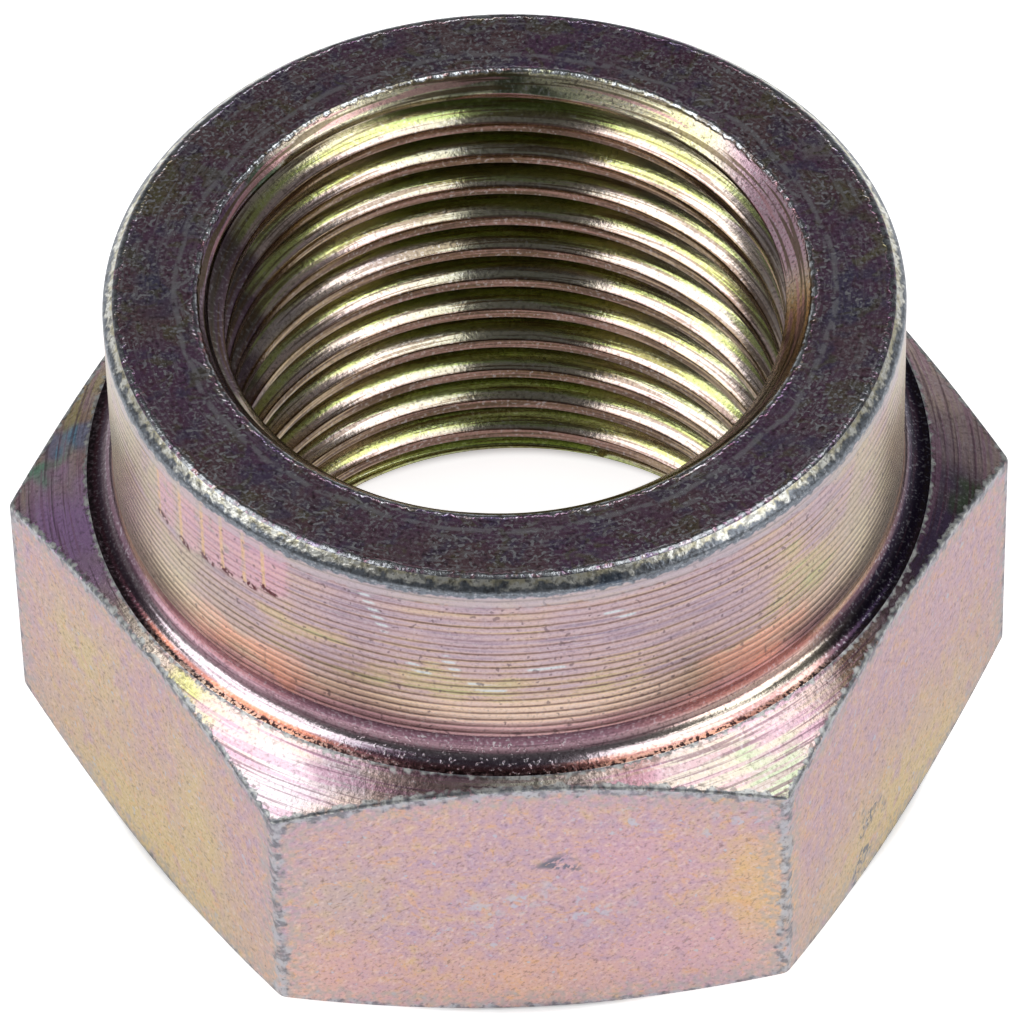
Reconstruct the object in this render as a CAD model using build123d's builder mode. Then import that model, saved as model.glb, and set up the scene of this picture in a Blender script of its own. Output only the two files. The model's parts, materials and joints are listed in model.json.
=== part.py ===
"""Staked spindle nut: one turned and threaded piece on a six-sided base."""

import os
from math import radians, sqrt, tan

from build123d import *

# Driving dimensions, in millimetres and degrees. The nut stands on its
# base face with +Z up the thread axis.

# Thread: M20 x 1.5, right-hand
thread_diameter = 20.0
thread_pitch = 1.5
minor_factor = 1.082532          # depth of the basic profile, in pitches
rim_clearance = 0.1              # collar countersink rim beyond the thread
base_clearance = 1.0             # base countersink rim beyond the thread
countersink_angle = 45.0         # measured from the axis, both ends

# Round collar that is staked into the spindle groove
collar_wall = 3.15               # from the thread's major radius outward
collar_height = 8.15             # above the foot of its fillet
collar_edge = 0.4                # 45 degree edge break round the top
collar_fillet = 0.9

# Six-sided wrench base
flat_ledge = 1.35                # collar wall to the middle of a flat
corner_height = 10.0             # where the top chamfer meets the corners
top_angle = 25.0                 # top chamfer, from the horizontal
base_angle = 27.0                # base chamfer, from the horizontal
base_inset = 0.1                 # base face inside the flats

# Sizes that follow from the driving ones
major_radius = thread_diameter / 2
bore_radius = major_radius - minor_factor * thread_pitch / 2
collar_radius = major_radius + collar_wall
flat_radius = collar_radius + flat_ledge
corner_radius = flat_radius * 2 / sqrt(3)
fillet_foot = collar_radius + collar_fillet
foot_height = corner_height + (corner_radius - fillet_foot) * tan(radians(top_angle))
overall_height = foot_height + collar_height
base_radius = flat_radius - base_inset
base_edge_height = (corner_radius - base_radius) * tan(radians(base_angle))
rim_radius = major_radius + rim_clearance
base_rim_radius = major_radius + base_clearance
rim_depth = (rim_radius - bore_radius) / tan(radians(countersink_angle))
base_depth = (base_rim_radius - bore_radius) / tan(radians(countersink_angle))


with BuildPart() as spindle_nut:
    # Six-sided bar the full height of the nut, corners on the X axis
    with BuildSketch(Plane.XY):
        RegularPolygon(radius=flat_radius, side_count=6, major_radius=False)
    extrude(amount=overall_height)

    # Turned outside: base chamfer, corner cylinder, top chamfer, fillet, collar
    with BuildSketch(Plane.XZ):
        with BuildLine():
            Polyline(
                (collar_radius, foot_height + collar_fillet),
                (collar_radius, overall_height),
                (0, overall_height),
                (0, 0),
                (base_radius, 0),
                (corner_radius, base_edge_height),
                (corner_radius, corner_height),
                (fillet_foot, foot_height),
            )
            CenterArc(
                center=(fillet_foot, foot_height + collar_fillet),
                radius=collar_fillet,
                start_angle=180,
                arc_size=90,
            )
        make_face()
    revolve(axis=Axis.Z, mode=Mode.INTERSECT)

    # Edge break round the top of the collar
    collar_rim = spindle_nut.faces().sort_by(Axis.Z)[-1].edges()
    chamfer(collar_rim, length=collar_edge)

    # Bore at the thread's minor diameter, countersunk at both ends
    with BuildSketch(Plane.XZ):
        with BuildLine():
            Polyline(
                (0, 0),
                (base_rim_radius, 0),
                (bore_radius, base_depth),
                (bore_radius, overall_height - rim_depth),
                (rim_radius, overall_height),
                (0, overall_height),
                close=True,
            )
        make_face()
    revolve(axis=Axis.Z, mode=Mode.SUBTRACT)

spindle_nut.part.label = "spindle_nut"

os.makedirs("parts", exist_ok=True)
export_step(spindle_nut.part, "parts/spindle_nut.step")
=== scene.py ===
"""Staked spindle nut: its finished surface with the real thread, on a white studio floor."""

import json
import math

import bpy
from mathutils import Matrix, Vector


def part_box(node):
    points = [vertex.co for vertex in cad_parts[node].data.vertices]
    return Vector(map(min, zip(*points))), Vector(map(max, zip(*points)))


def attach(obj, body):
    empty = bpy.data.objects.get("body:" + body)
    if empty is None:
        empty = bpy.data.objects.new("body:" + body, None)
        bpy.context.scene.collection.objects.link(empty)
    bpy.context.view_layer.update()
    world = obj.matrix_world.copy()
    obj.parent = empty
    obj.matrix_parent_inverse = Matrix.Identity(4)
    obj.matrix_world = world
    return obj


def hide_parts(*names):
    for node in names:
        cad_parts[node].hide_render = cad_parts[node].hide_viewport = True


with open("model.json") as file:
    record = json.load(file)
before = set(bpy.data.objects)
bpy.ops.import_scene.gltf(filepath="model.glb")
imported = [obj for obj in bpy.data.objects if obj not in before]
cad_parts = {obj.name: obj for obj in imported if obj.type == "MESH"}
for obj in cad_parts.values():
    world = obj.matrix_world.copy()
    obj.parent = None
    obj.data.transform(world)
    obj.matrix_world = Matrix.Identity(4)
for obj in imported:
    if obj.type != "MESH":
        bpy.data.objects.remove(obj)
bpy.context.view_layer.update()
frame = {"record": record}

MM = 0.001
NODE = "spindle_nut"

# Sizes read from the frame, in millimetres
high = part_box(NODE)[1]
mounts = {mount["name"]: mount for mount in frame["record"]["mounts"]}
HEIGHT = high.z / MM
FLAT_RADIUS = high.y / MM
MINOR_RADIUS = mounts["thread_bore"]["dims"]["r_mm"]
COLLAR_RADIUS = mounts["collar_outside"]["dims"]["r_mm"]

# The rest of the nut's section, in millimetres and degrees
COLLAR_HEIGHT = 8.15
COLLAR_EDGE = 0.4
FILLET = 0.9
TOP_ANGLE = 25.0
BASE_ANGLE = 27.0
BASE_INSET = 0.1
RIM_RADIUS = 10.1
BASE_RIM_RADIUS = 11.0
FOOT_RADIUS = COLLAR_RADIUS + FILLET
FOOT_HEIGHT = HEIGHT - COLLAR_HEIGHT
WALL_FOOT = FOOT_HEIGHT + FILLET
WALL_TOP = HEIGHT - COLLAR_EDGE

# Edges rounded by plating and handling
WORN_EDGE = 0.12
HEX_CORNER = 0.3
COLLAR_EDGE_ROUND = 0.22
RIM_ROUND = 0.13
FOOT_ROUND = 0.05

# Right-hand thread, M20 x 1.5
PITCH = 1.5
MAJOR_RADIUS = 10.0
CREST_FLAT = PITCH / 4
ROOT_FLAT = PITCH / 8
CREST_ROUND = 0.05
ROOT_ROUND = 0.12
CREST_HEIGHT = 0.725             # of a crest on the +X side

# Mesh density
COLUMNS_PER_FLAT = 36
COLUMNS_PER_CORNER = 6
ARC_STEPS = 3
THREAD_ARC_STEPS = 2
FLANK_STEPS = 3

SIXTH = math.radians(60)
ZONES = ["base", "flats", "ledge", "fillet", "wall", "collar_edge", "collar_top", "sink", "thread"]


def arc_corner(before, corner, after, radius, steps):
    """Points of the arc that rounds the corner between two straight lines."""
    before, corner, after = Vector(before), Vector(corner), Vector(after)
    back, ahead = (before - corner).normalized(), (after - corner).normalized()
    half = back.angle(ahead) / 2
    centre = corner + (back + ahead).normalized() * radius / math.sin(half)
    reach = radius / math.tan(half)
    first, last = corner + back * reach - centre, corner + ahead * reach - centre
    turn = math.pi - 2 * half
    points = []
    for step in range(steps + 1):
        share = step / steps
        near, far = math.sin((1 - share) * turn), math.sin(share * turn)
        points.append(centre + (first * near + last * far) / math.sin(turn))
    return points


def straight(start, end, count):
    """Points between two ends, closer together near both of them."""
    shares = [(1 - math.cos(math.pi * step / count)) / 2 for step in range(1, count)]
    return [start.lerp(end, share) for share in shares]


def corner_half_angle():
    """Half the azimuth that a rounded corner of the hexagon takes."""
    centre = (FLAT_RADIUS - HEX_CORNER) / math.cos(SIXTH / 2)
    across, along = HEX_CORNER * math.sin(SIXTH / 2), HEX_CORNER * math.cos(SIXTH / 2)
    return math.atan2(across, centre + along)


def hexagon_radius(azimuth):
    """Distance from the axis to the hexagon's sides, its corners rounded."""
    from_corner = abs((azimuth + SIXTH / 2) % SIXTH - SIXTH / 2)
    if from_corner >= corner_half_angle() - 1e-9:
        return FLAT_RADIUS / math.cos(SIXTH / 2 - from_corner)
    centre = (FLAT_RADIUS - HEX_CORNER) / math.cos(SIXTH / 2)
    across = centre * math.sin(from_corner)
    return centre * math.cos(from_corner) + math.sqrt(HEX_CORNER**2 - across**2)


def distance_to_corner(azimuth):
    """Distance along a flat to its nearer upright edge, 0 on the rounded corner."""
    from_middle = abs(azimuth % SIXTH - SIXTH / 2)
    flat_end = FLAT_RADIUS * math.tan(SIXTH / 2 - corner_half_angle())
    return max(0.0, flat_end - FLAT_RADIUS * math.tan(from_middle))


def column_azimuths():
    """Azimuths of the mesh's columns: some on each rounded corner, the others along the flats."""
    half = corner_half_angle()
    azimuths = []
    for side in range(6):
        corner = SIXTH * side
        for step in range(COLUMNS_PER_CORNER):
            azimuths.append(corner + half * (2 * step / COLUMNS_PER_CORNER - 1))
        for step in range(COLUMNS_PER_FLAT):
            even = step / COLUMNS_PER_FLAT
            crowded = (1 - math.cos(math.pi * even)) / 2
            share = 0.7 * even + 0.3 * crowded
            azimuths.append(corner + half + (SIXTH - 2 * half) * share)
    return azimuths


def outer_corners(azimuth):
    """Corners of the outside: place, edge round, the zone that starts there and its rows."""
    side = hexagon_radius(azimuth)
    face_end = FLAT_RADIUS - BASE_INSET
    flat_low = (side - face_end) * math.tan(math.radians(BASE_ANGLE))
    flat_high = FOOT_HEIGHT - (side - FOOT_RADIUS) * math.tan(math.radians(TOP_ANGLE))
    return [
        ((BASE_RIM_RADIUS - 1, 1), 0, "sink", 0),
        ((BASE_RIM_RADIUS, 0), WORN_EDGE, "base", 5),
        ((face_end, 0), BASE_INSET, "base", 5),
        ((side, flat_low), WORN_EDGE, "flats", 12),
        ((side, flat_high), WORN_EDGE, "ledge", 10),
        ((FOOT_RADIUS, FOOT_HEIGHT), FOOT_ROUND, "fillet", 12),
        ((COLLAR_RADIUS, WALL_FOOT), 0, "wall", 12),
        ((COLLAR_RADIUS, WALL_TOP), COLLAR_EDGE_ROUND, "collar_edge", 4),
        ((COLLAR_RADIUS - COLLAR_EDGE, HEIGHT), COLLAR_EDGE_ROUND, "collar_top", 8),
        ((RIM_RADIUS, HEIGHT), RIM_ROUND, "sink", 0),
        ((RIM_RADIUS - 1, HEIGHT - 1), 0, "sink", 0),
    ]


def fillet_arc(steps):
    """The hollow arc from the ledge's inner edge up to the collar's wall."""
    points = []
    for step in range(steps + 1):
        angle = math.radians(90) * step / steps
        across = COLLAR_RADIUS + FILLET * (1 - math.sin(angle))
        points.append(Vector((across, WALL_FOOT - FILLET * math.cos(angle))))
    return points


def outer_rows(azimuth):
    """Rows from the base's rim over the outside to the collar's rim: point, edge distance, zone."""
    corners = outer_corners(azimuth)
    arcs = []
    for before, here, after in zip(corners, corners[1:], corners[2:]):
        place, radius, zone = here[:3]
        ahead = (COLLAR_RADIUS, FOOT_HEIGHT) if zone == "fillet" else after[0]
        arc = arc_corner(before[0], place, ahead, radius, ARC_STEPS) if radius else [Vector(place)]
        arcs.append(arc)
    rows = []
    for place, (arc, corner) in enumerate(zip(arcs, corners[1:])):
        zone, count = corner[2:]
        rows += [(point, 0.0, zone) for point in arc]
        if place + 1 == len(arcs):
            break
        start, end = arc[-1], arcs[place + 1][0]
        between = fillet_arc(count)[1:-1] if zone == "fillet" else straight(start, end, count)
        for point in between:
            distance = min((point - start).length, (end - point).length)
            if zone == "flats":
                distance = min(distance, distance_to_corner(azimuth))
            rows.append((point, distance, zone))
    return rows


def thread_profile():
    """One pitch of the thread, upward from the middle of a crest: radius and height."""
    crest, root = CREST_FLAT / 2, (PITCH - ROOT_FLAT) / 2
    corners = [
        (MINOR_RADIUS, -crest),
        (MINOR_RADIUS, crest),
        (MAJOR_RADIUS, root),
        (MAJOR_RADIUS, PITCH - root),
        (MINOR_RADIUS, PITCH - crest),
        (MINOR_RADIUS, PITCH + crest),
    ]
    rounds = [CREST_ROUND, ROOT_ROUND, ROOT_ROUND, CREST_ROUND]
    arcs = [
        arc_corner(before, here, after, radius, THREAD_ARC_STEPS)
        for before, here, after, radius in zip(corners, corners[1:], corners[2:], rounds)
    ]
    up = [arcs[0][-1].lerp(arcs[1][0], step / FLANK_STEPS) for step in range(1, FLANK_STEPS)]
    down = [arcs[2][-1].lerp(arcs[3][0], step / FLANK_STEPS) for step in range(1, FLANK_STEPS)]
    return arcs[0] + up + arcs[1] + arcs[2] + down + arcs[3]


def sink_radius(height):
    """Radius of the two countersinks at a height, well inside the crests between them."""
    return max(RIM_RADIUS - (HEIGHT - height), BASE_RIM_RADIUS - height)


def bore_rows(azimuth, profile, start, end):
    """Rows of the bore along the thread's helix, upward: point and whether it is on a countersink."""
    lead = CREST_HEIGHT + PITCH * azimuth / math.radians(360)
    turns = range(-2, math.ceil(HEIGHT / PITCH) + 1)
    points = [point + Vector((0, lead + PITCH * turn)) for turn in turns for point in profile]
    cut = [sink_radius(point.y) - point.x for point in points]
    rows = []
    for point, depth in zip(points, cut):
        radius = point.x + max(depth, 0)
        rows.append([Vector((radius, point.y)), depth >= 0])
    for index in range(len(points) - 1):
        here, ahead = cut[index], cut[index + 1]
        if here * ahead < 0:
            share = here / (here - ahead)
            nearer = index if share < 0.5 else index + 1
            rows[nearer] = [points[index].lerp(points[index + 1], share), True]
    for row in rows:
        if row[0].y <= start.y:
            row[:] = [start, True]
        elif row[0].y >= end.y:
            row[:] = [end, True]
    return rows


class Shell:
    """Vertices and faces of the nut, gathered column by column."""

    def __init__(self):
        self.vertices = []
        self.edge_distance = []
        self.faces = []
        self.zones = []

    def add_vertex(self, azimuth, point, edge_distance):
        across = point.x * MM
        place = (across * math.cos(azimuth), across * math.sin(azimuth), point.y * MM)
        self.vertices.append(place)
        self.edge_distance.append(edge_distance)
        return len(self.vertices) - 1

    def add_face(self, corners, zone):
        distinct = list(dict.fromkeys(corners))
        if len(distinct) > 2:
            self.faces.append(distinct)
            self.zones.append(ZONES.index(zone))


def nut_shell():
    """The whole closed surface: the outside, the collar's top, the countersinks and the thread."""
    shell = Shell()
    profile = thread_profile()
    outside, bore = [], []
    for azimuth in column_azimuths():
        rows = outer_rows(azimuth)
        start, end = rows[0][0], rows[-1][0]
        column = [(shell.add_vertex(azimuth, point, gap), zone) for point, gap, zone in rows]
        outside.append(column)
        ends = {id(start): column[0][0], id(end): column[-1][0]}
        inner = []
        for point, on_sink in bore_rows(azimuth, profile, start, end):
            gap = min((point - start).length, (end - point).length)
            vertex = ends[id(point)] if id(point) in ends else shell.add_vertex(azimuth, point, gap)
            inner.append((vertex, on_sink))
        bore.append(inner)
    for place, (here, after) in enumerate(zip(outside, outside[1:] + outside[:1])):
        for row in range(len(here) - 1):
            corners = [here[row][0], after[row][0], after[row + 1][0], here[row + 1][0]]
            shell.add_face(corners, here[row][1])
        shift = len(profile) if place == len(outside) - 1 else 0
        inner = bore[place]
        beside = bore[(place + 1) % len(bore)]
        beside = beside[shift:] + beside[-1:] * shift
        for row in range(len(inner) - 1):
            corners = [inner[row], inner[row + 1], beside[row + 1], beside[row]]
            zone = "sink" if all(on_sink for vertex, on_sink in corners) else "thread"
            shell.add_face([vertex for vertex, on_sink in corners], zone)
    return shell


def build_nut(materials):
    """The nut's one piece, with a coat for each zone of its surface."""
    shell = nut_shell()
    mesh = bpy.data.meshes.new("spindle_nut_body")
    mesh.from_pydata(shell.vertices, [], shell.faces)
    for material in materials:
        mesh.materials.append(material)
    mesh.polygons.foreach_set("material_index", shell.zones)
    mesh.polygons.foreach_set("use_smooth", [True] * len(mesh.polygons))
    distance = mesh.attributes.new("edge_distance", "FLOAT", "POINT")
    distance.data.foreach_set("value", shell.edge_distance)
    mesh.validate()
    nut = bpy.data.objects.new("spindle_nut_body", mesh)
    bpy.context.scene.collection.objects.link(nut)
    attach(nut, "root")
    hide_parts(NODE)
    return nut


def srgb(red, green, blue):
    """A colour given in 0-255 screen values, as the shader's linear one."""
    parts = [value / 255 for value in (red, green, blue)]
    linear = [p / 12.92 if p <= 0.04045 else ((p + 0.055) / 1.055) ** 2.4 for p in parts]
    return (*linear, 1.0)


def on_wall(azimuth, height, radius=COLLAR_RADIUS):
    """A point of the nut by azimuth in degrees, height and radius in millimetres."""
    turn = math.radians(azimuth)
    return (radius * math.cos(turn), radius * math.sin(turn), height)


def on_front(across, height):
    """A point of the front flat, in millimetres."""
    return (across, -FLAT_RADIUS, height)


def add_node(tree, kind, inputs=None, **settings):
    """A new node with its settings, and with its inputs fed by place or by name."""
    node = tree.nodes.new(kind)
    for name, value in settings.items():
        setattr(node, name, value)
    for place, value in (inputs or {}).items():
        if isinstance(value, bpy.types.NodeSocket):
            tree.links.new(value, node.inputs[place])
        else:
            node.inputs[place].default_value = value
    return node


def add_math(tree, operation, *values):
    """The result of one calculation with numbers or other nodes' results."""
    return add_node(tree, "ShaderNodeMath", dict(enumerate(values)), operation=operation).outputs[0]


# The colours that a chromate film takes as it grows thicker, round to the first again
FILM = [
    (0.00, srgb(208, 192, 144)),
    (0.12, srgb(214, 184, 150)),
    (0.25, srgb(206, 172, 174)),
    (0.38, srgb(192, 164, 184)),
    (0.50, srgb(136, 114, 150)),
    (0.62, srgb(126, 140, 150)),
    (0.75, srgb(152, 174, 128)),
    (0.88, srgb(198, 206, 132)),
    (1.00, srgb(208, 192, 144)),
]
SLATE = srgb(122, 128, 138)
PALE = srgb(224, 224, 230)
DARK = srgb(66, 56, 60)
FINEST_GRAIN = 20.0              # cells of noise per millimetre
STREAK_TURN = 0.25               # turns from the tangent to the way in which the gloss is stretched


class Coat:
    """One zone's plating under way: its material, and short ways to add nodes to it."""

    def __init__(self, name, roughness, anisotropy=0.0):
        self.material = bpy.data.materials.new(name)
        self.material.use_nodes = True
        self.tree = self.material.node_tree
        self.shader = self.tree.nodes["Principled BSDF"]
        self.shader.inputs["Metallic"].default_value = 1.0
        self.shader.inputs["Roughness"].default_value = roughness
        if anisotropy:
            self.shader.inputs["Anisotropic"].default_value = anisotropy
            self.shader.inputs["Anisotropic Rotation"].default_value = STREAK_TURN
            tangent = self.node("ShaderNodeTangent", direction_type="RADIAL", axis="Z")
            self.tree.links.new(tangent.outputs[0], self.shader.inputs["Tangent"])
        metres = self.node("ShaderNodeTexCoord").outputs["Object"]
        self.place = self.vector("SCALE", metres, Scale=1 / MM)
        self.x, self.y, self.z = self.node("ShaderNodeSeparateXYZ", {0: self.place}).outputs
        squares = self.add(self.times(self.x, self.x), self.times(self.y, self.y))
        self.radius = self.math("SQRT", squares)
        self.aside = self.math("ABSOLUTE", self.x)
        self.ragged = self.drift(12.0, 0.08)
        self.cloudy = self.drift(0.7, 1.6)
        self.colour = None
        self.normal = None

    def node(self, kind, inputs=None, **settings):
        return add_node(self.tree, kind, inputs, **settings)

    def math(self, operation, *values):
        return add_math(self.tree, operation, *values)

    def add(self, *values):
        """The sum of any number of values."""
        total = values[0]
        for value in values[1:]:
            total = self.math("ADD", total, value)
        return total

    def times(self, *values):
        """The product of any number of values."""
        product = values[0]
        for value in values[1:]:
            product = self.math("MULTIPLY", product, value)
        return product

    def vector(self, operation, *values, **named):
        inputs = {**dict(enumerate(values)), **named}
        node = self.node("ShaderNodeVectorMath", inputs, operation=operation)
        return node.outputs["Value" if operation in ("LENGTH", "DISTANCE", "DOT_PRODUCT") else "Vector"]

    def noise(self, per_mm, detail=2.0, place=None, rough=0.5):
        """Soft noise about 0.5, given by its cells per millimetre, none finer than the picture shows."""
        if not place:
            detail = min(detail, math.log2(FINEST_GRAIN / per_mm))
        inputs = {"Vector": place or self.place, "Scale": per_mm, "Detail": detail, "Roughness": rough}
        return self.node("ShaderNodeTexNoise", inputs).outputs["Fac"]

    def sway(self, amount, per_mm, detail=2.0, place=None):
        """Noise about 0 that seldom passes the amount given."""
        centred = self.math("SUBTRACT", self.noise(per_mm, detail, place), 0.5)
        return self.math("MULTIPLY", centred, 4 * amount)

    def drift(self, per_mm, reach):
        """The surface's place, shifted about by noise, for outlines that are not even."""
        inputs = {"Vector": self.place, "Scale": per_mm, "Detail": 1.0}
        cells = self.node("ShaderNodeTexNoise", inputs).outputs["Color"]
        shift = self.vector("SUBTRACT", cells, (0.5, 0.5, 0.5))
        return self.vector("ADD", self.place, self.vector("SCALE", shift, Scale=2 * reach))

    def turned(self, along, per_mm, length):
        """Place for streaks round the axis, by their number per millimetre and their length."""
        x = self.times(self.math("DIVIDE", self.x, self.radius), COLLAR_RADIUS / length)
        y = self.times(self.math("DIVIDE", self.y, self.radius), COLLAR_RADIUS / length)
        return self.node("ShaderNodeCombineXYZ", {0: x, 1: y, 2: self.times(along, per_mm)}).outputs[0]

    def streaks(self, along, per_mm, length):
        """Noise about 0.5 in streaks that run round the axis."""
        return self.noise(1.0, 1.0, self.turned(along, per_mm, length))

    def slanted(self, across, along):
        """Place for short fibres that rise to the right on the front, by cells per millimetre."""
        rising = self.times(self.add(self.x, self.z), along)
        falling = self.times(self.math("SUBTRACT", self.x, self.z), across)
        inward = self.times(self.y, (across + along) / 2)
        return self.node("ShaderNodeCombineXYZ", {0: rising, 1: inward, 2: falling}).outputs[0]

    def fade(self, value, nothing, full):
        """Rises smoothly from 0 to 1 between two values, in either direction."""
        inputs = {"Value": value, "From Min": nothing, "From Max": full}
        node = self.node("ShaderNodeMapRange", inputs, interpolation_type="SMOOTHSTEP")
        return node.outputs["Result"]

    def mix(self, share, start, end):
        """A colour between two others."""
        return self.node("ShaderNodeMix", {0: share, 6: start, 7: end}, data_type="RGBA").outputs[2]

    def paint(self, tint, *shares):
        """Lays a colour over what is there, by the product of the shares given."""
        self.colour = self.mix(self.times(*shares), self.colour, tint)

    def film(self, thickness):
        """The colour of the plating for a film thickness, in turns of its colour circle."""
        node = self.node("ShaderNodeValToRGB", {0: self.math("FRACT", thickness)})
        stops = node.color_ramp.elements
        for place, colour in FILM[1:-1]:
            stops.new(place).color = colour
        stops[0].color, stops[len(stops) - 1].color = FILM[0][1], FILM[-1][1]
        return node.outputs[0]

    def patch(self, centre, size, soft=0.7):
        """A cloudy patch: 1 at its centre, 0 outside its half sizes."""
        offset = self.vector("DIVIDE", self.vector("SUBTRACT", self.cloudy, centre), size)
        return self.fade(self.vector("LENGTH", offset), 1.0, 1.0 - soft)

    def stroke(self, start, end, width):
        """A ragged scratch between two points of the surface."""
        along = Vector(end) - Vector(start)
        offset = self.vector("SUBTRACT", self.ragged, start)
        reach = self.vector("DOT_PRODUCT", offset, tuple(along / along.length_squared))
        share = self.node("ShaderNodeClamp", {0: reach}).outputs[0]
        foot = self.vector("SCALE", tuple(along), Scale=share)
        return self.fade(self.vector("DISTANCE", offset, foot), width / 2, width / 5)

    def specks(self, per_mm, level):
        """Small spots where a fine noise passes a level."""
        return self.fade(self.noise(per_mm, 0.6), level, level + 0.06)

    def grit(self, colour, amount, per_mm):
        """The colour with fine dark and pale grain in it."""
        grain = self.noise(per_mm, 2.0, rough=0.6)
        colour = self.mix(self.times(self.fade(grain, 0.52, 0.72), amount), colour, DARK)
        return self.mix(self.times(self.fade(grain, 0.46, 0.28), amount * 0.7), colour, PALE)

    def speckle(self, amount, per_mm):
        """Adds fine dark and pale grain to what is there."""
        self.colour = self.grit(self.colour, amount, per_mm)

    def edge(self, width, raggedness, per_mm=4.0, softness=0.05):
        """1 on a worn edge, fading to 0 at the ragged limit of its wear."""
        distance = self.node("ShaderNodeAttribute", attribute_name="edge_distance").outputs["Fac"]
        limit = self.add(width, self.sway(raggedness, per_mm, 3.0))
        return self.fade(self.math("SUBTRACT", distance, limit), softness, -softness)

    def bump(self, height, micrometres):
        """Adds relief to the surface's normal."""
        inputs = {"Height": height, "Distance": micrometres * 1e-6, "Strength": 1.0}
        if self.normal:
            inputs["Normal"] = self.normal
        self.normal = self.node("ShaderNodeBump", inputs).outputs[0]

    def finished(self, roughness=None):
        """Joins the colour, the relief and the roughness to the shader."""
        self.tree.links.new(self.colour, self.shader.inputs["Base Color"])
        if roughness:
            self.tree.links.new(roughness, self.shader.inputs["Roughness"])
        if self.normal:
            self.tree.links.new(self.normal, self.shader.inputs["Normal"])
        return self.material


# Cloudy patches of colour on the flats: centre, half sizes, colour and strength
STRAW_GOLD = srgb(216, 196, 142)
FLAT_PATCHES = [
    (on_front(7.8, 5.4), (2.2, 3, 4.2), srgb(228, 192, 136), 0.8),
    (on_front(-0.5, 1.6), (5.5, 3, 2.2), srgb(232, 186, 152), 0.6),
    (on_front(-7.0, 2.0), (4.0, 3, 2.6), srgb(226, 180, 170), 0.6),
    (on_front(-6.0, 6.4), (2.4, 3, 3.6), srgb(196, 180, 172), 0.6),
    (on_front(5.0, 2.6), (5.0, 3, 2.6), srgb(218, 176, 184), 0.7),
    (on_front(3.4, 7.4), (4.0, 3, 3.4), srgb(216, 172, 186), 0.5),
    (on_wall(-30, 0.4, 14.5), (9.0, 15.0, 7.0), STRAW_GOLD, 0.9),
    (on_wall(-18, 7.5, 14.8), (3.0, 5.0, 3.4), srgb(204, 172, 184), 0.7),
    (on_wall(-150, 0.6, 14.5), (9.0, 15.0, 7.5), STRAW_GOLD, 0.9),
    (on_wall(-137, 6.0, 15.5), (2.4, 3.0, 6.0), STRAW_GOLD, 0.8),
    (on_wall(-164, 7.0, 15.2), (3.4, 5.0, 4.0), STRAW_GOLD, 0.8),
]
# Bare grey dents on the flats: centre and half sizes
FLAT_DENTS = [
    (on_front(0.7, 7.5), (1.0, 1, 0.5)),
    (on_wall(-38, 2.6, 14.7), (0.5, 0.8, 1.3)),
    (on_wall(-41, 1.3, 14.9), (0.5, 0.8, 1.1)),
]
# Clusters of pale worn specks on the front flat: centre and half sizes
FLAT_MARKS = [
    (on_front(2.7, 9.4), (2.2, 1, 0.9)),
    (on_front(-2.2, 3.6), (1.3, 1, 0.7)),
    (on_front(-0.8, 5.3), (1.6, 1, 1.1)),
    (on_front(1.2, 5.0), (2.4, 1, 1.8)),
    (on_front(6.8, 9.0), (2.0, 1, 1.2)),
]


def mark_flats(coat):
    """Pale specks and bare dents."""
    marks = coat.specks(4.0, 0.7)
    flecks = coat.fade(coat.noise(3.0, 2.0), 0.56, 0.64)
    for centre, size in FLAT_MARKS:
        marks = coat.math("MAXIMUM", marks, coat.times(coat.patch(centre, size), flecks))
    coat.paint(srgb(194, 198, 212), marks, 0.7)
    scraped = coat.fade(coat.noise(4.0, 1.0, coat.slanted(1.6, 0.8)), 0.46, 0.54)
    for centre, size in FLAT_DENTS:
        coat.paint(srgb(104, 112, 130), coat.patch(centre, size, 0.5), scraped, 0.85)


def wear_flats(coat):
    """Edges dulled for some way in, and rubbed down to slate and bare steel."""
    dulled = coat.fade(coat.noise(4.0, 2.0), 0.4, 0.6)
    coat.paint(srgb(180, 174, 172), coat.edge(0.7, 0.4, 2.0, 0.3), dulled, 0.6)
    upper = coat.times(coat.fade(coat.z, 8.8, 9.8), 0.12)
    blotches = coat.fade(coat.noise(2.2, 4.0), 0.42, 0.56)
    metal = coat.mix(coat.times(blotches, 0.8), SLATE, srgb(196, 200, 208))
    worn = coat.edge(coat.add(upper, 0.08), 0.24, 3.0, 0.12)
    coat.paint(coat.grit(metal, 0.55, 6.0), worn, 0.8)


def matt_plating(name):
    """Matt plating on cold-formed steel: pink and gold clouds, slanted fibres, worn edges."""
    coat = Coat(name, 0.42)
    thickness = coat.add(0.27, coat.sway(0.05, 0.22, 3.0), coat.sway(0.13, 2.4, 3.0))
    coat.colour = coat.film(thickness)
    uneven = coat.fade(coat.noise(1.4, 3.0), 0.22, 0.5)
    for centre, size, tint, strength in FLAT_PATCHES:
        coat.paint(tint, coat.patch(centre, size, 0.95), uneven, strength)
    fibre = coat.noise(1.0, 2.0, coat.slanted(5.5, 2.6))
    coat.paint(srgb(120, 98, 92), coat.fade(fibre, 0.61, 0.72), 0.45)
    coat.paint(srgb(234, 210, 200), coat.fade(fibre, 0.42, 0.32), 0.4)
    golden = coat.fade(coat.noise(2.6, 3.0, coat.cloudy), 0.56, 0.68)
    coat.paint(srgb(226, 178, 128), golden, 0.45)
    coat.speckle(0.28, 8.0)
    mark_flats(coat)
    wear_flats(coat)
    coat.bump(fibre, 12.0)
    return coat.finished()


def flats_finish():
    return matt_plating("plating_flats")


def base_finish():
    return matt_plating("plating_base")


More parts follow.
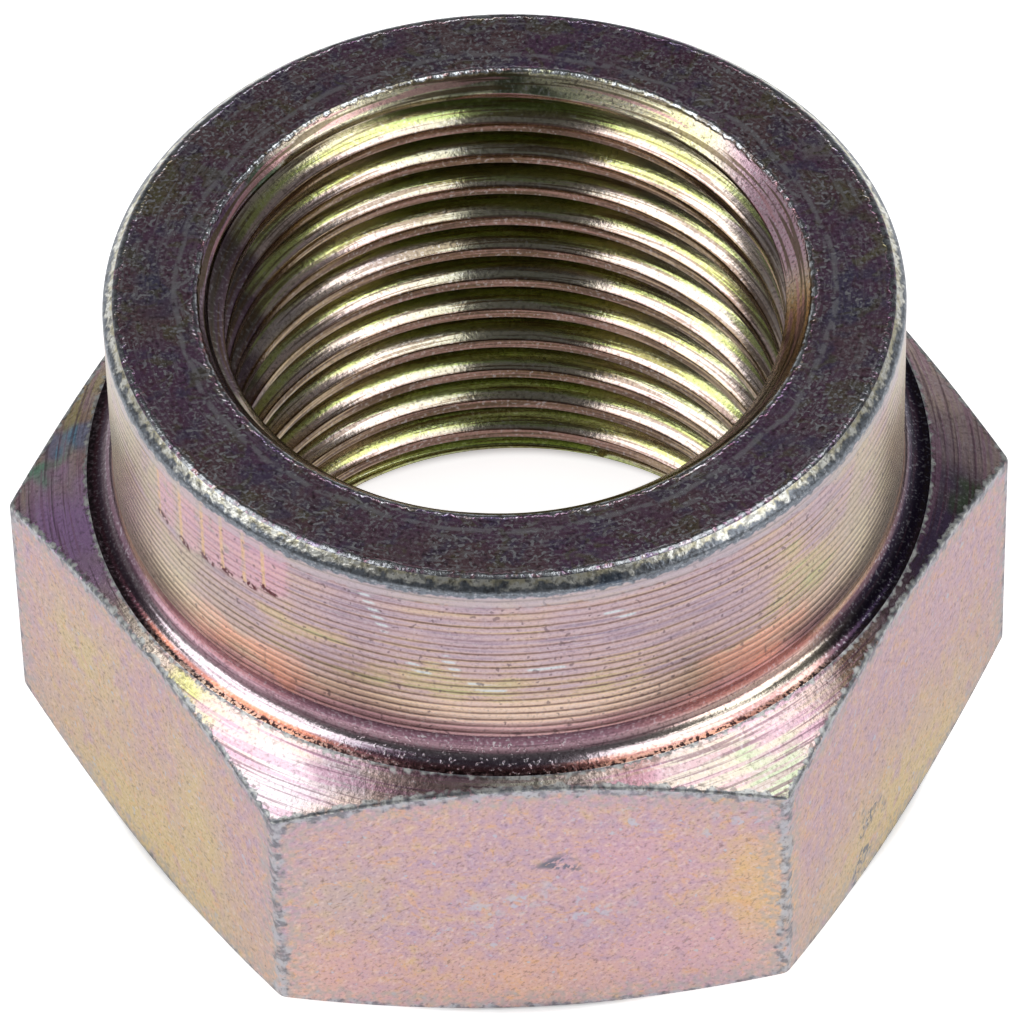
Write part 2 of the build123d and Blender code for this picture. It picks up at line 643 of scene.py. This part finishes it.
# Patches of colour on the ledge, the near white one in the front middle being a painted highlight:
# centre, half sizes, colour and strength
LEDGE_PATCHES = [
    (on_wall(-60, 10.0, 15.8), (2.4, 2.4, 2), srgb(176, 190, 158), 0.9),
    (on_wall(-68, 10.8, 14.8), (1.6, 1.6, 2), srgb(194, 188, 172), 0.8),
    (on_wall(-122, 10.3, 15.8), (2.6, 2.6, 2), srgb(218, 208, 214), 0.9),
    (on_wall(-114, 10.8, 14.8), (1.8, 1.6, 2), srgb(168, 152, 160), 0.9),
    (on_wall(-139, 10.8, 14.6), (1.8, 1.6, 2), srgb(206, 206, 130), 0.9),
    (on_wall(-104, 11.0, 14.3), (2.4, 1.8, 2), srgb(156, 130, 128), 0.9),
    (on_wall(-92, 11.0, 14.3), (2.0, 1.8, 2), srgb(255, 252, 232), 0.9),
    (on_wall(-83, 11.0, 14.4), (1.2, 1.6, 2), srgb(196, 180, 172), 0.8),
    (on_wall(-76, 11.0, 14.5), (1.5, 1.8, 2), srgb(168, 134, 130), 0.9),
    (on_wall(-151, 10.9, 14.6), (2.2, 3.2, 2), srgb(248, 232, 214), 0.9),
    (on_wall(-171, 10.6, 15.0), (3.4, 4.4, 3), srgb(222, 178, 240), 0.9),
    (on_wall(-192, 10.8, 14.3), (1.6, 3.0, 3), srgb(206, 192, 130), 0.8),
    (on_wall(-188, 10.9, 14.8), (1.0, 1.2, 2), srgb(130, 180, 214), 0.9),
    (on_wall(-183, 10.6, 15.3), (0.9, 1.0, 2), srgb(150, 204, 176), 0.9),
    (on_wall(-41, 10.8, 15.0), (2.4, 2.6, 3), srgb(132, 106, 88), 0.9),
    (on_wall(-18, 10.8, 15.0), (5.0, 8.0, 3), srgb(98, 80, 118), 0.95),
    (on_wall(-30, 10.8, 15.0), (2.0, 2.6, 3), srgb(106, 78, 88), 0.8),
    (on_wall(-9, 10.6, 15.6), (1.3, 1.6, 3), srgb(96, 122, 84), 0.8),
]


def ledge_finish():
    """Turned chamfer over the flats: bright, with fine lines and glinting grain."""
    coat = Coat("plating_ledge", 0.27, 0.5)
    turned = coat.turned(coat.radius, 6.0, 5.0)
    streak = coat.noise(1.0, 2.0, turned)
    thickness = coat.add(0.2, coat.sway(0.1, 0.5, 3.0), coat.sway(0.15, 1.0, 2.0, turned))
    coat.colour = coat.mix(0.5, coat.film(thickness), srgb(226, 206, 212))
    for centre, size, tint, strength in LEDGE_PATCHES:
        coat.paint(tint, coat.patch(centre, size, 0.8), strength)
    coat.paint(srgb(186, 132, 160), coat.fade(streak, 0.53, 0.58), 0.4)
    fine = coat.streaks(coat.radius, 10.0, 4.0)
    coat.paint(srgb(110, 78, 96), coat.fade(fine, 0.56, 0.66), 0.65)
    coat.speckle(0.35, 8.0)
    front = coat.fade(coat.aside, 5.5, 3.0)
    inner = coat.times(coat.fade(coat.radius, FOOT_RADIUS + 0.3, FOOT_RADIUS + 0.05), front)
    flecked = coat.math("MAXIMUM", inner, coat.edge(0.12, 0.2, 3.0))
    rough_grain = coat.fade(coat.noise(6.0, 1.0), 0.5, 0.6)
    coat.paint(srgb(100, 92, 86), flecked, rough_grain, 0.6)
    worn = coat.edge(0.08, 0.16, 4.0)
    polished = coat.fade(coat.noise(4.0, 3.0), 0.45, 0.6)
    metal = coat.mix(polished, srgb(132, 136, 142), srgb(206, 208, 206))
    coat.paint(coat.grit(metal, 0.6, 8.0), worn)
    coat.bump(coat.noise(5.0, 2.0, rough=0.6), 9.0)
    coat.bump(fine, 5.0)
    duller = coat.add(0.27, coat.times(worn, 0.2))
    return coat.finished(duller)


def paint_fillet_bands(coat, height):
    """The bands of colour that follow each other up the hollow, by height above the ledge."""
    right = coat.fade(coat.x, 2.0, 7.0)
    left = coat.fade(coat.x, -6.5, -9.5)
    lowest = coat.mix(coat.fade(coat.x, 0.0, 4.0), srgb(216, 146, 120), srgb(236, 190, 180))
    orange = coat.mix(coat.fade(height, 0.0, 0.03), srgb(225, 205, 190), lowest)
    silver = coat.mix(right, srgb(222, 206, 212), srgb(236, 224, 204))
    upper = coat.mix(right, srgb(232, 188, 202), srgb(250, 214, 200))
    highest = coat.mix(right, srgb(132, 98, 112), srgb(184, 124, 116))
    highest = coat.mix(left, highest, srgb(190, 136, 142))
    coat.colour = coat.mix(coat.fade(height, 0.05, 0.09), orange, silver)
    coat.paint(upper, coat.fade(height, 0.24, 0.34))
    coat.paint(highest, coat.fade(height, 0.42, 0.62))


def paint_fillet_sides(coat, rise, above):
    """Painted shade in dark purple on both sides of the hollow, and painted light where they meet the
    wall.
    """
    left_end = coat.fade(coat.x, -11.2, -12.6)
    sides = coat.math("MAXIMUM", left_end, coat.fade(coat.x, 9.0, 10.4))
    coat.paint(srgb(74, 48, 72), sides, coat.fade(rise, 0.3, 0.1), 0.9)
    middle = coat.times(coat.fade(rise, 0.1, 0.3), coat.fade(rise, 0.75, 0.5))
    coat.paint(srgb(86, 60, 78), sides, middle, 0.9)
    coat.paint(srgb(250, 214, 180), sides, above, 0.9)
    # Painted shade, near black, low down on the far right
    far_right = coat.fade(coat.x, 9.5, 11.5)
    coat.paint(srgb(40, 34, 60), far_right, coat.fade(rise, 0.5, 0.3), 0.9)


def fillet_finish():
    """The hollow at the collar's foot: orange low down, silver, then purple up to the wall."""
    coat = Coat("plating_fillet", 0.16)
    rise = coat.math("SUBTRACT", coat.z, FOOT_HEIGHT)
    streak = coat.streaks(coat.z, 8.0, 8.0)
    shifted = coat.add(rise, coat.times(streak, 0.06), -0.03)
    paint_fillet_bands(coat, shifted)
    # Painted dark reflection: the front of the hollow is painted navy low down
    front = coat.times(coat.fade(coat.y, -11.5, -13.0), coat.fade(coat.x, 3.5, -0.5), 0.8)
    coat.paint(srgb(92, 78, 104), front, coat.fade(rise, 0.4, 0.1))
    above = coat.fade(rise, 0.5, 0.75)
    paint_fillet_sides(coat, rise, above)
    fine = coat.fade(coat.streaks(coat.z, 14.0, 3.0), 0.54, 0.64)
    coat.paint(srgb(104, 74, 90), fine, 0.5)
    coat.speckle(0.4, 9.0)
    crisp = coat.fade(coat.math("ABSOLUTE", shifted), 0.035, 0.01)
    coat.paint(DARK, crisp, coat.fade(coat.noise(9.0, 1.0), 0.48, 0.56))
    glint = coat.times(coat.fade(coat.noise(7.0, 1.0), 0.62, 0.7), front)
    coat.paint(srgb(226, 222, 224), glint, 0.6)
    coat.bump(coat.noise(7.0, 3.0, rough=0.6), 5.0)
    coat.bump(glint, 7.0)
    coat.bump(streak, 2.0)
    duller = coat.add(0.16, coat.times(above, 0.16))
    return coat.finished(duller)


GROOVE_PITCH = 0.318             # feed of the turning tool on the collar, in millimetres
# Vertical scratches on the collar: azimuth, upper end, lower end
SCRATCHES = [
    (-151.0, 18.2, 16.3),
    (-145.5, 18.9, 16.1),
    (-140.5, 18.9, 16.3),
    (-136.5, 18.8, 16.4),
    (-132.3, 18.7, 16.5),
    (-128.8, 18.6, 16.7),
]
# Rubbed places on the collar, where the groove crests are pale: azimuth and height of both ends
DASHES = [
    (-101.0, 15.8, -99.6, 15.2),
    (-112.5, 18.2, -109.8, 16.8),
    (-106.0, 15.3, -104.0, 15.0),
    (-89.0, 15.4, -85.0, 15.3),
    (-97.5, 14.6, -93.5, 14.4),
    (-78.0, 17.6, -75.0, 17.3),
]
# Patches of the wall's film: centre, half sizes and change of thickness
WALL_PATCHES = [
    (on_wall(-122, 15.6), (2.4, 2.4, 1.0), -0.26),
    (on_wall(-79, 14.0), (2.5, 2.5, 0.9), -0.16),
    (on_wall(-101, 14.4), (4.5, 3.0, 1.0), -0.26),
    (on_wall(-46, 15.2), (2.6, 3.0, 2.2), -0.28),
    (on_wall(-168, 15.5), (4.0, 5.0, 3.4), -0.22),
    (on_wall(-12, 15.5), (4.0, 5.0, 3.4), -0.22),
    (on_wall(-92, 17.5), (2.4, 2.4, 1.6), -0.12),
    (on_wall(-110, 17.6), (2.0, 2.0, 1.0), 0.08),
    (on_wall(-68, 16.8), (3.0, 3.0, 1.8), 0.06),
    (on_wall(-140, 17.6), (2.2, 2.2, 1.1), 0.07),
]
# Coral patches at the wall's foot: centre and half sizes
CORAL_PATCHES = [
    (on_wall(-132, 13.2), (3.0, 3.4, 1.1)),
    (on_wall(-55, 13.3), (3.2, 3.6, 1.1)),
]


def paint_wall_film(coat, turned, crest, lowering):
    """Pink and gold clouds, with a little more film on the grooves' crests."""
    thickness = coat.add(0.23, coat.sway(0.1, 0.4, 3.0), coat.sway(0.16, 1.0, 2.0, turned))
    for centre, size, change in WALL_PATCHES:
        thickness = coat.add(thickness, coat.times(coat.patch(centre, size, 0.9), change))
    thickness = coat.add(thickness, coat.times(lowering, -0.08), coat.times(crest, 0.16))
    coat.colour = coat.mix(0.3, coat.film(thickness), srgb(186, 170, 158))
    outer = coat.fade(coat.aside, 8.0, 12.0)
    coat.paint(srgb(200, 186, 150), outer, coat.fade(coat.noise(0.8, 3.0), 0.35, 0.6), 0.8)


def paint_wall_foot(coat, coral, ends):
    """The wall's paler foot, coral in two places, and painted light in cream at both ends."""
    low = coat.times(coat.fade(coat.z, 14.2, 13.5), coat.fade(coat.z, 12.4, 12.9))
    coat.paint(srgb(246, 214, 188), low, 0.7)
    coat.paint(srgb(244, 192, 196), coat.fade(coat.z, 13.1, 12.3), 0.8)
    coat.paint(srgb(255, 190, 164), coral, 0.75)
    # Painted light: both ends of the wall are painted near white, low down
    coat.paint(srgb(255, 240, 206), ends, coat.fade(coat.z, 16.0, 13.0), 0.9)


def paint_grooves(coat, crest, streak, softened):
    """Painted shade as a dark line in each groove and a painted highlight as a pale one on each crest,
    stronger in some places.
    """
    patchy = coat.fade(coat.noise(1.0, 3.0), 0.25, 0.6)
    uneven = coat.fade(streak, 0.66, 0.34)
    strength = coat.add(0.15, coat.times(patchy, 0.25), coat.times(uneven, 0.38))
    coat.paint(srgb(98, 70, 72), coat.fade(crest, 0.34, 0.04), strength, softened)
    coat.paint(srgb(236, 214, 206), coat.fade(crest, 0.7, 0.98), patchy, 0.22)


def scratch_wall(coat, crest):
    """Upright gold scratches between pink bands, with dark lower ends, and rubbed crests."""
    spots = coat.fade(coat.noise(6.0, 1.0), 0.42, 0.5)
    broken = coat.fade(coat.noise(2.0, 2.0), 0.28, 0.45)
    for azimuth, top, bottom in SCRATCHES:
        pink = coat.stroke(on_wall(azimuth + 2.0, top), on_wall(azimuth + 2.0, bottom + 0.4), 1.4)
        coat.paint(srgb(228, 168, 192), pink, broken, 0.4)
        gold = coat.stroke(on_wall(azimuth, top), on_wall(azimuth, bottom), 0.22)
        coat.paint(srgb(222, 186, 140), gold, broken, 0.75)
        end = coat.stroke(on_wall(azimuth, bottom), on_wall(azimuth + 1.6, bottom - 0.1), 0.4)
        coat.paint(srgb(92, 36, 44), end, spots)
    rubbed_and_lit = coat.fade(crest, 0.55, 0.85)
    for first, top, second, bottom in DASHES:
        pale = coat.stroke(on_wall(first, top), on_wall(second, bottom), 0.5)
        coat.paint(srgb(214, 222, 226), pale, rubbed_and_lit, 0.75)


def wall_finish():
    """The collar's turned wall: fine grooves over pink and gold clouds, some scratches."""
    coat = Coat("plating_wall", 0.27, 0.45)
    turned = coat.turned(coat.z, 5.0, 7.0)
    streak = coat.noise(1.0, 2.0, turned)
    wave = coat.add(coat.times(coat.z, 2 * math.pi / GROOVE_PITCH), coat.sway(1.2, 0.25))
    crest = coat.times(coat.add(coat.math("SINE", wave), 1.0), 0.5)
    lowering = coat.fade(coat.z, 16.5, 14.0)
    paint_wall_film(coat, turned, crest, lowering)
    coral = 0.0
    for centre, size in CORAL_PATCHES:
        coral = coat.math("MAXIMUM", coral, coat.patch(centre, size))
    # Both ends of the wall, left and right, where light is painted lower down
    ends = coat.fade(coat.aside, 9.5, 12.0)
    paint_wall_foot(coat, coral, ends)
    softened = coat.add(1.0, coat.times(coral, -0.35), coat.times(ends, -0.35))
    paint_grooves(coat, crest, coat.add(streak, coat.times(lowering, -0.12)), softened)
    scratch_wall(coat, crest)
    coat.speckle(0.22, 9.0)
    coat.paint(srgb(104, 84, 90), coat.specks(5.0, 0.68), 0.6)
    upper = coat.fade(coat.z, 18.0, 18.5)
    coat.paint(srgb(188, 182, 188), coat.edge(0.55, 0.2, 2.0), upper, 0.5)
    coat.paint(coat.grit(SLATE, 0.5, 7.0), coat.edge(0.12, 0.14, 3.0), upper)
    coat.bump(crest, 4.5)
    coat.bump(streak, 3.0)
    coat.bump(coat.noise(8.0, 3.0, rough=0.6), 2.5)
    return coat.finished()


def collar_edge_finish():
    """The handled edge break of the collar: straw and silver glints over slate."""
    coat = Coat("worn_collar_edge", 0.3)
    patchy = coat.fade(coat.noise(3.0, 4.0), 0.42, 0.6)
    upper = coat.fade(coat.add(coat.z, coat.sway(0.16, 3.0, 4.0)), HEIGHT - 0.28, HEIGHT - 0.16)
    straw = coat.mix(patchy, srgb(216, 210, 182), srgb(242, 242, 234))
    coat.colour = coat.mix(upper, srgb(128, 134, 142), straw)
    dark = coat.fade(coat.noise(5.0, 2.0), 0.53, 0.62)
    coat.paint(srgb(84, 86, 88), dark, 0.55)
    ding = coat.patch(on_wall(-78.5, HEIGHT - 0.35), (0.45, 0.6, 0.45), 0.4)
    coat.paint(srgb(84, 96, 112), ding, 0.8)
    coat.speckle(0.4, 9.0)
    coat.bump(coat.noise(4.0, 3.0, rough=0.6), 28.0)
    return coat.finished()


# Olive and pale patches of the film on the collar's top: centre, half sizes and colour
TOP_PATCHES = [
    ((-11.0, 5.5, HEIGHT), (1.3, 1.6, 2), srgb(170, 160, 120)),
    ((11.3, 3.3, HEIGHT), (0.9, 1.3, 2), srgb(165, 160, 120)),
    ((12.0, 0.9, HEIGHT), (0.7, 1.0, 2), srgb(180, 175, 130)),
    ((-11.5, 1.1, HEIGHT), (1.2, 2.0, 2), srgb(130, 130, 165)),
    ((10.9, -1.3, HEIGHT), (1.0, 1.6, 2), srgb(130, 128, 165)),
    ((11.1, 5.8, HEIGHT), (0.8, 0.8, 2), srgb(200, 190, 190)),
]
TOP_RING = 10.75                 # radius of a faint ring on the collar's top, in millimetres
# Pale strokes on the collar's top: both ends
TOP_STROKES = [
    ((8.8, 4.6), (9.9, 3.5)),
    ((8.7, 3.6), (9.9, 4.5)),
    ((10.7, -1.2), (10.6, -2.8)),
    ((5.4, -8.9), (6.5, -8.2)),
    ((-10.5, -2.3), (-9.6, -3.3)),
    ((-10.8, 0.6), (-9.9, 1.9)),
    ((-11.2, 0.2), (-9.6, 1.6)),
    ((-9.8, -5.2), (-8.8, -5.9)),
]


def marks_on_top(coat):
    """Where the collar's top is rubbed pale: specks, short strokes and one faint ring."""
    dust = coat.times(coat.fade(coat.noise(9.0, 2.0), 0.56, 0.7), 0.6)
    scratched = coat.fade(coat.streaks(coat.radius, 9.0, 1.2), 0.58, 0.68)
    marks = coat.math("MAXIMUM", coat.specks(6.5, 0.6), dust)
    marks = coat.math("MAXIMUM", marks, coat.times(scratched, 0.5))
    marks = coat.times(marks, coat.fade(coat.noise(0.6, 4.0), 0.28, 0.6))
    broken = coat.fade(coat.noise(3.0, 2.0), 0.35, 0.5)
    for start, end in TOP_STROKES:
        mark = coat.stroke((*start, HEIGHT), (*end, HEIGHT), 0.16)
        marks = coat.math("MAXIMUM", marks, coat.times(mark, broken, 0.7))
    from_ring = coat.math("ABSOLUTE", coat.add(coat.radius, coat.sway(0.14, 0.4, 1.0), -TOP_RING))
    ring = coat.times(coat.fade(from_ring, 0.14, 0.04), broken, 0.6)
    return coat.math("MAXIMUM", marks, ring)


def collar_top_finish():
    """The collar's flat top: dark purple film full of fine pale specks."""
    coat = Coat("plating_collar_top", 0.24)
    cloud = coat.fade(coat.noise(0.3, 4.0), 0.38, 0.62)
    coat.colour = coat.mix(cloud, srgb(158, 120, 156), srgb(166, 134, 140))
    navy = coat.fade(coat.noise(1.1, 4.0), 0.5, 0.62)
    coat.paint(srgb(126, 124, 162), navy, 0.6)
    for centre, size, tint in TOP_PATCHES:
        coat.paint(tint, coat.patch(centre, size), 0.8)
    olive = coat.fade(coat.noise(1.2, 5.0, coat.cloudy), 0.53, 0.64)
    coat.paint(srgb(158, 156, 112), olive, 0.6)
    maroon = coat.fade(coat.noise(1.6, 5.0, coat.cloudy), 0.45, 0.36)
    coat.paint(srgb(140, 92, 108), maroon, 0.5)
    streak = coat.streaks(coat.radius, 7.0, 3.0)
    coat.paint(srgb(200, 184, 190), coat.fade(streak, 0.54, 0.66), 0.3)
    coat.speckle(0.7, 7.0)
    coat.paint(srgb(226, 226, 232), marks_on_top(coat))
    worn = coat.edge(0.03, 0.12)
    beads = coat.fade(coat.noise(4.0, 2.0), 0.42, 0.6)
    metal = coat.mix(beads, srgb(88, 94, 104), srgb(176, 180, 184))
    coat.paint(coat.grit(metal, 0.6, 8.0), worn)
    coat.bump(coat.noise(6.0, 2.0, rough=0.6), 5.0)
    coat.bump(coat.times(coat.noise(4.0, 2.0), coat.edge(0.08, 0.08)), 30.0)
    return coat.finished()


# Darker and greener places of the upper countersink, which are painted dark reflections, and one pale
# painted highlight at 48 degrees: centre, half sizes and colour
SINK_PATCHES = [
    (on_wall(86, HEIGHT - 0.5, 9.6), (2.6, 1.2, 0.8), srgb(96, 108, 84)),
    (on_wall(142, HEIGHT - 0.5, 9.6), (1.6, 1.8, 0.8), srgb(96, 124, 92)),
    (on_wall(160, HEIGHT - 0.5, 9.6), (1.8, 2.4, 0.8), srgb(112, 84, 112)),
    (on_wall(48, HEIGHT - 0.5, 9.6), (1.6, 1.6, 0.8), srgb(232, 226, 172)),
]


def sink_finish():
    """Countersinks: pale yellow and pink turned lines, dark specks."""
    coat = Coat("plating_countersink", 0.24, 0.4)
    turned = coat.turned(coat.z, 9.0, 6.0)
    streak = coat.noise(1.0, 1.0, turned)
    thickness = coat.add(0.02, coat.sway(0.16, 0.25, 3.0), coat.sway(0.16, 1.0, 1.0, turned))
    coat.colour = coat.mix(0.55, coat.film(thickness), srgb(250, 246, 224))
    mauve = coat.times(coat.fade(coat.x, 6.5, 8.5), coat.fade(coat.y, -1.0, 1.5))
    coat.paint(srgb(216, 170, 200), mauve, 0.8)
    amber = coat.times(coat.fade(coat.x, 8.0, 9.4), coat.fade(coat.y, 1.0, -1.5))
    coat.paint(srgb(222, 160, 96), amber, 0.8)
    purple = coat.times(coat.fade(coat.x, -6.5, -8.5), 0.8)
    coat.paint(srgb(150, 116, 156), purple)
    # Painted shade at the bottom of the bore, on the lower countersink
    lower = coat.times(coat.fade(coat.z, 4.0, 3.0), 0.7)
    coat.paint(srgb(128, 98, 96), lower)
    for centre, size, tint in SINK_PATCHES:
        coat.paint(tint, coat.patch(centre, size), 0.9)
    coat.speckle(0.6, 9.0)
    pink = coat.fade(coat.streaks(coat.z, 6.0, 6.0), 0.46, 0.38)
    coat.paint(srgb(222, 166, 172), pink, 0.7)
    scored = coat.fade(streak, 0.52, 0.6)
    coat.paint(srgb(104, 90, 58), scored, 0.8)
    worn = coat.edge(0.02, 0.06)
    beads = coat.fade(coat.noise(4.0, 2.0), 0.42, 0.58)
    metal = coat.mix(beads, srgb(104, 112, 124), srgb(226, 232, 238))
    coat.paint(coat.grit(metal, 0.6, 7.0), worn)
    coat.bump(coat.times(coat.noise(4.0, 2.0), coat.edge(0.06, 0.06)), 40.0)
    coat.bump(streak, 6.0)
    coat.bump(coat.noise(6.0, 2.0, rough=0.6), 6.0)
    return coat.finished()


def thread_finish():
    """The thread: yellow-green in the grooves, pink to brown on the crests, fine lines along it."""
    coat = Coat("plating_thread", 0.15, 0.3)
    broad = coat.turned(coat.z, 1.6, 9.0)
    rising = coat.add(coat.z, coat.radius)
    turned = coat.turned(rising, 5.0, 5.0)
    thickness = coat.add(0.98, coat.sway(0.3, 1.0, 2.0, broad), coat.sway(0.12, 1.0, 2.0, turned))
    strayed = coat.add(coat.sway(0.2, 1.0, 2.0, broad), coat.sway(0.08, 1.0, 1.0, turned))
    depth = coat.add(coat.radius, -MINOR_RADIUS, strayed)
    tint = coat.mix(coat.fade(depth, 0.19, 0.37), srgb(240, 214, 220), srgb(208, 228, 132))
    coat.colour = coat.mix(0.7, coat.film(thickness), tint)
    # Painted shade: the middle of the bore's far side is painted a darker green
    far = coat.fade(coat.y, 0.0, 5.0)
    coat.paint(srgb(140, 160, 116), coat.fade(coat.aside, 5.0, 1.5), far, 0.5)
    crest = coat.fade(coat.radius, MINOR_RADIUS + 0.08, MINOR_RADIUS + 0.015)
    grain = coat.fade(coat.streaks(coat.z, 8.0, 5.0), 0.35, 0.65)
    # Painted light: the crests are paler and more golden towards both sides, browner in the middle
    rubbed_and_lit = coat.fade(coat.aside, 3.0, 7.0)
    brown = coat.mix(rubbed_and_lit, srgb(156, 118, 108), srgb(206, 184, 146))
    coat.paint(coat.mix(grain, srgb(92, 66, 50), brown), crest, 0.92)
    # Painted shade in the roots on the middle of the far side, painted light in the roots elsewhere
    middle = coat.times(coat.fade(coat.aside, 5.0, 2.5), far)
    deepest = coat.mix(middle, srgb(240, 212, 222), srgb(92, 92, 60))
    coat.paint(deepest, coat.fade(coat.radius, MAJOR_RADIUS - 0.5, MAJOR_RADIUS - 0.1), 0.7)
    shade = coat.patch((-9.6, 0.5, 14.0), (3.4, 6.0, 10.0), 0.3)
    coat.paint(srgb(84, 58, 86), shade, 0.85)
    coat.paint(srgb(112, 88, 62), coat.fade(coat.streaks(rising, 7.0, 5.0), 0.53, 0.62), 0.65)
    coat.speckle(0.4, 8.0)
    coat.bump(coat.noise(1.0, 2.0, turned), 5.0)
    coat.bump(coat.noise(6.0, 2.0, rough=0.6), 4.0)
    return coat.finished()


# Studio: sizes in metres, angles in degrees, levels in the renderer's own units
FLOOR_SIDE = 6.0
FLOOR_WHITE = (0.8, 0.8, 0.8, 1)
FLOOR_GLOW = 0.88
MIRRORED_GLOW = 0.59             # share of the glow that the metal mirrors
# The floor's glow is dimmed beside the nut's base as a painted contact shadow
SHADE_REACH = 0.55               # of the floor's shade beside the nut's base, in millimetres
SHADE_LEVEL = 0.4                # share of the glow that is left where the base meets the floor
WORLD_LEVEL = 0.1
HORIZON_LEVEL = 0.5
HORIZON_TOP = 42.0
LAMP_HEIGHT = 0.4
LAMP_RADIANCE = 2.0
# Each soft box: its centre, its two sides and its turn about the upright
LAMPS = {
    "lamp_right": ((0.164, -0.005), (0.22, 0.405), 14.0),
    "lamp_left": ((-0.210, 0.012), (0.185, 0.43), -12.8),
    "lamp_far_left": ((-0.547, -0.04), (0.45, 0.35), -12.8),
    "lamp_far_right": ((0.62, -0.33), (0.45, 0.45), 14.0),
}


def glow_near_nut(tree):
    """The floor's glow by its distance from the nut's base, dimmer where they meet: a painted contact
    shadow.
    """
    place = add_node(tree, "ShaderNodeTexCoord").outputs["Object"]
    radius = add_node(tree, "ShaderNodeVectorMath", {0: place}, operation="LENGTH").outputs["Value"]
    inside = add_math(tree, "SUBTRACT", BASE_RIM_RADIUS * MM, radius)
    outside = add_math(tree, "SUBTRACT", radius, (FLAT_RADIUS - BASE_INSET) * MM)
    inputs = {
        "Value": add_math(tree, "MAXIMUM", inside, outside),
        "From Max": SHADE_REACH * MM,
        "To Min": SHADE_LEVEL * FLOOR_GLOW,
        "To Max": FLOOR_GLOW,
    }
    node = add_node(tree, "ShaderNodeMapRange", inputs, interpolation_type="SMOOTHSTEP")
    return node.outputs["Result"]


def floor_material():
    """Matt white that keeps shadows and looks white to the camera and in the metal."""
    material = bpy.data.materials.new("studio_floor")
    material.use_nodes = True
    tree = material.node_tree
    tree.nodes.clear()
    path = add_node(tree, "ShaderNodeLightPath").outputs
    mirrored = add_math(tree, "MULTIPLY", path["Is Glossy Ray"], MIRRORED_GLOW)
    seen = add_math(tree, "MAXIMUM", path["Is Camera Ray"], mirrored)
    seen = add_math(tree, "MAXIMUM", seen, path["Is Transmission Ray"])
    strength = add_math(tree, "MULTIPLY", seen, glow_near_nut(tree))
    glow = add_node(tree, "ShaderNodeEmission", {"Strength": strength}).outputs[0]
    white = add_node(tree, "ShaderNodeBsdfDiffuse", {"Color": FLOOR_WHITE}).outputs[0]
    both = add_node(tree, "ShaderNodeAddShader", {0: white, 1: glow}).outputs[0]
    add_node(tree, "ShaderNodeOutputMaterial", {"Surface": both})
    return material


def add_floor():
    """The white floor under the nut's base."""
    half = FLOOR_SIDE / 2
    mesh = bpy.data.meshes.new("studio_floor")
    corners = [(-half, -half, 0), (half, -half, 0), (half, half, 0), (-half, half, 0)]
    mesh.from_pydata(corners, [], [(0, 1, 2, 3)])
    mesh.materials.append(floor_material())
    floor = bpy.data.objects.new("studio_floor", mesh)
    bpy.context.scene.collection.objects.link(floor)


def add_lamp(name, centre, sides, turn):
    """A soft box overhead that faces down."""
    light = bpy.data.lights.new(name, "AREA")
    light.shape = "RECTANGLE"
    light.size, light.size_y = sides
    light.energy = LAMP_RADIANCE * math.pi * light.size * light.size_y
    lamp = bpy.data.objects.new(name, light)
    lamp.location = (*centre, LAMP_HEIGHT)
    lamp.rotation_euler.z = math.radians(turn)
    lamp.visible_camera = False
    bpy.context.scene.collection.objects.link(lamp)


def add_world():
    """Dim surroundings with a paler band round the horizon."""
    world = bpy.data.worlds.new("studio")
    world.use_nodes = True
    tree = world.node_tree
    direction = add_node(tree, "ShaderNodeTexCoord").outputs["Generated"]
    inputs = {
        "Value": add_node(tree, "ShaderNodeSeparateXYZ", {0: direction}).outputs["Z"],
        "From Max": math.sin(math.radians(HORIZON_TOP)),
        "To Min": HORIZON_LEVEL,
        "To Max": WORLD_LEVEL,
    }
    level = add_node(tree, "ShaderNodeMapRange", inputs, interpolation_type="SMOOTHSTEP")
    background = tree.nodes["Background"]
    background.inputs["Color"].default_value = (1, 1, 1, 1)
    tree.links.new(level.outputs["Result"], background.inputs["Strength"])
    bpy.context.scene.world = world


# Camera, in millimetres and degrees
LENS = 323.63
CAMERA_AIM = (0.0, 0.0, 8.65)
CAMERA_DISTANCE = 307.3
CAMERA_ELEVATION = 47.41
CAMERA_AZIMUTH = -91.52          # of the camera's place, from +X
CAMERA_ROLL = -1.55
NEAREST_SEEN = 10.0


def add_camera():
    """The camera, where the photograph was taken from."""
    azimuth, elevation = math.radians(CAMERA_AZIMUTH), math.radians(CAMERA_ELEVATION)
    away = Vector(
        (
            math.cos(elevation) * math.cos(azimuth),
            math.cos(elevation) * math.sin(azimuth),
            math.sin(elevation),
        )
    )
    data = bpy.data.cameras.new("camera")
    data.lens = LENS
    data.clip_start = NEAREST_SEEN * MM
    camera = bpy.data.objects.new("camera", data)
    look = (-away).to_track_quat("-Z", "Y").to_matrix().to_4x4()
    place = Matrix.Translation((Vector(CAMERA_AIM) + away * CAMERA_DISTANCE) * MM)
    camera.matrix_world = place @ look @ Matrix.Rotation(math.radians(CAMERA_ROLL), 4, "Z")
    bpy.context.scene.collection.objects.link(camera)
    bpy.context.scene.camera = camera


FINISHES = {
    "base": base_finish,
    "flats": flats_finish,
    "ledge": ledge_finish,
    "fillet": fillet_finish,
    "wall": wall_finish,
    "collar_edge": collar_edge_finish,
    "collar_top": collar_top_finish,
    "sink": sink_finish,
    "thread": thread_finish,
}

build_nut([FINISHES[zone]() for zone in ZONES])
add_floor()
for name, (centre, sides, turn) in LAMPS.items():
    add_lamp(name, centre, sides, turn)
add_world()
add_camera()
bpy.context.scene.view_settings.view_transform = "Standard"
